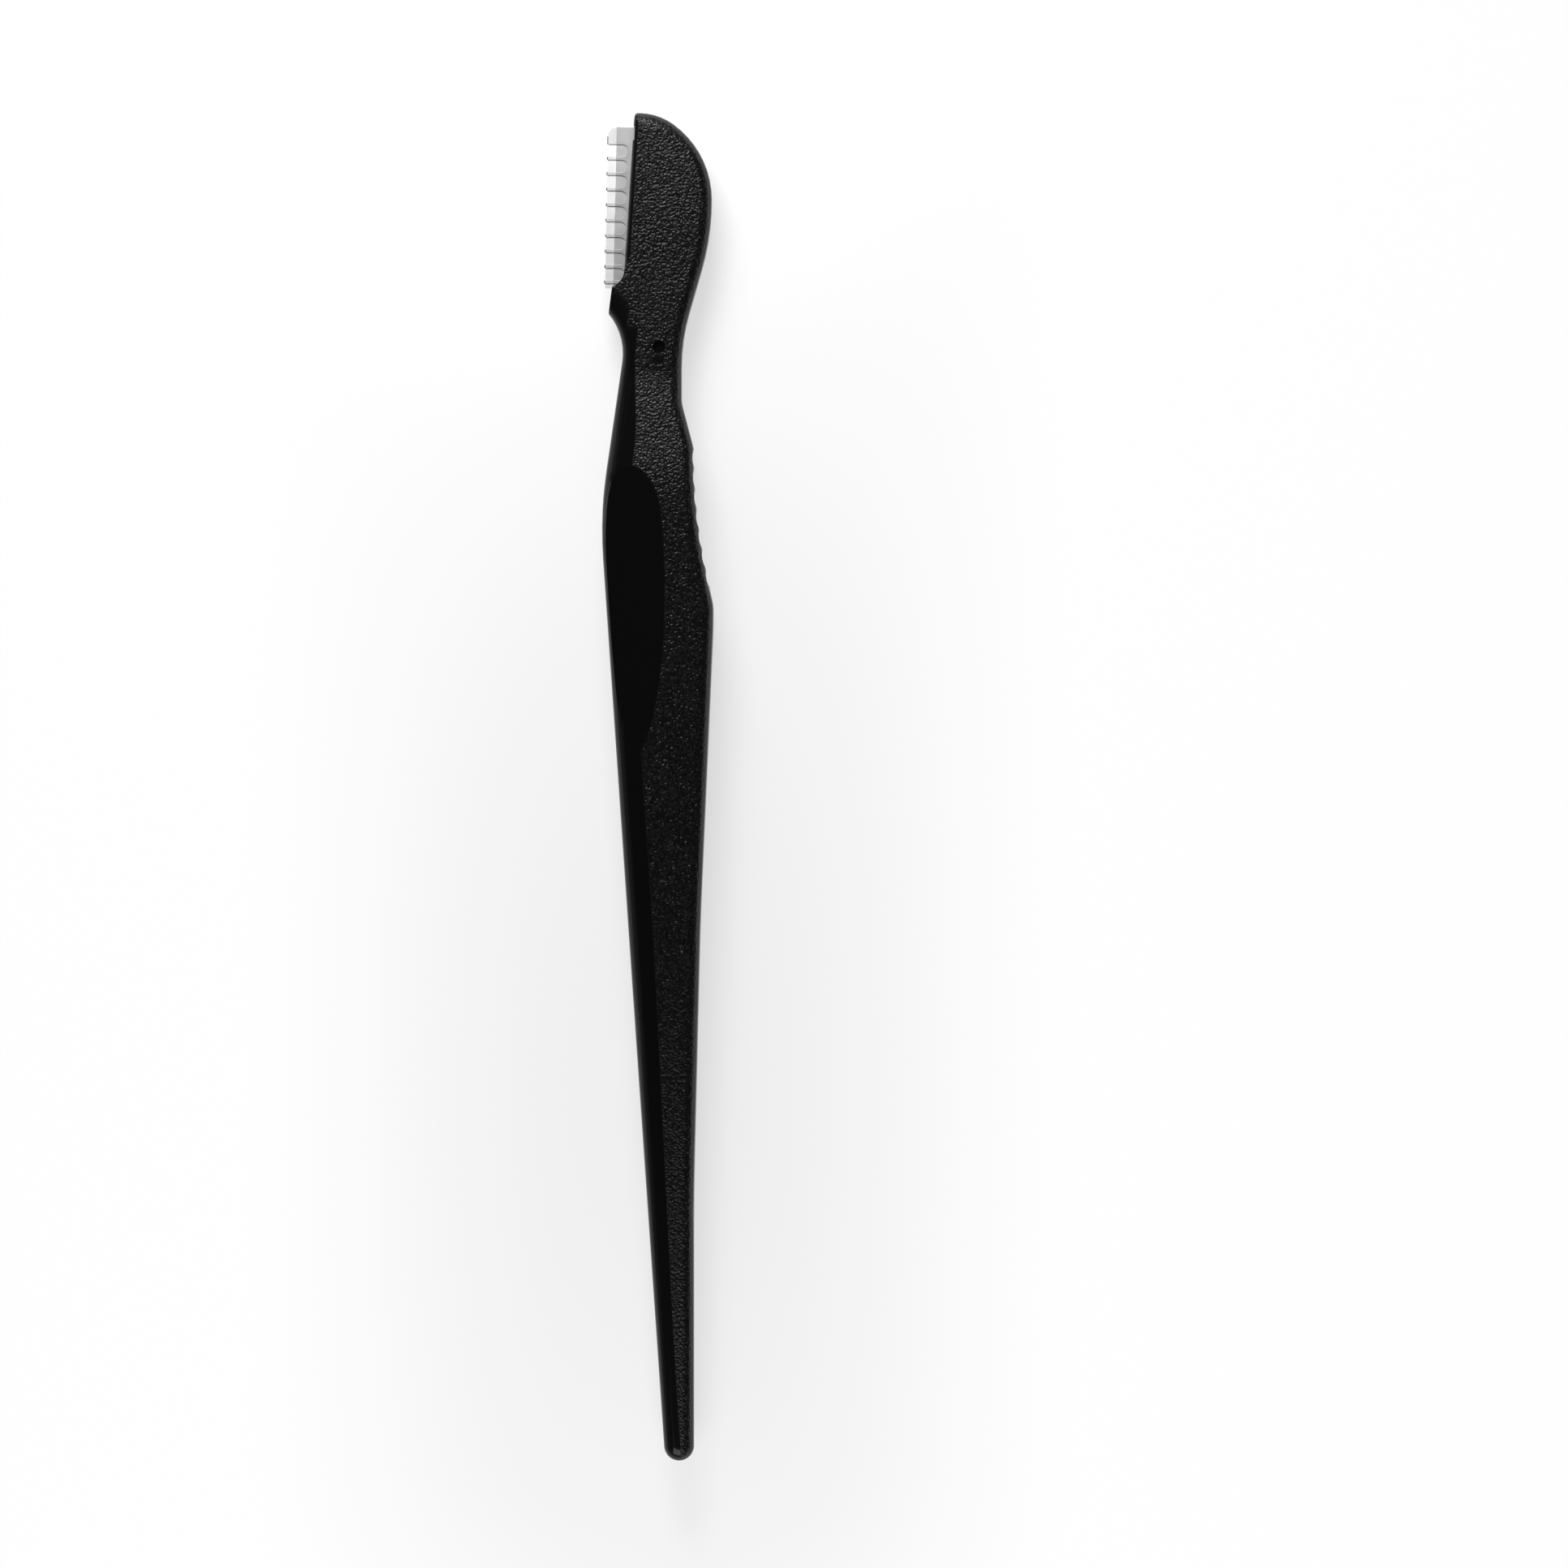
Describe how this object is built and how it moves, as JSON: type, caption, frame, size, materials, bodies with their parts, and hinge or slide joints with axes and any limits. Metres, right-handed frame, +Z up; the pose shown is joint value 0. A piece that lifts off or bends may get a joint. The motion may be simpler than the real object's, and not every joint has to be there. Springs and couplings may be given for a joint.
{
  "type": "eyebrow razor",
  "caption": "Slim eyebrow razor lying flat: tapering moulded handle with thumb rest and finger grooves, D-shaped head, and a short steel blade under a slotted skin guard.",
  "frame": {"origin": "middle of the outline's box, on the surface that the razor lies on", "axes": "+X from the cutting edge to the spine, +Y from the tail to the head, +Z up out of the front face"},
  "size_m": [0.009, 0.11, 0.0056],
  "materials": {
    "handle_plastic": "black moulded plastic with a fine spark-eroded grain, smooth in the thumb rest",
    "blade_steel": "rolled stainless strip with bright ground bevels",
    "guard_steel": "thin etched stainless foil"
  },
  "bodies": {
    "root": {"handle": "handle_plastic", "blade": "blade_steel", "skin_guard": "guard_steel"}
  },
  "joints": []
}
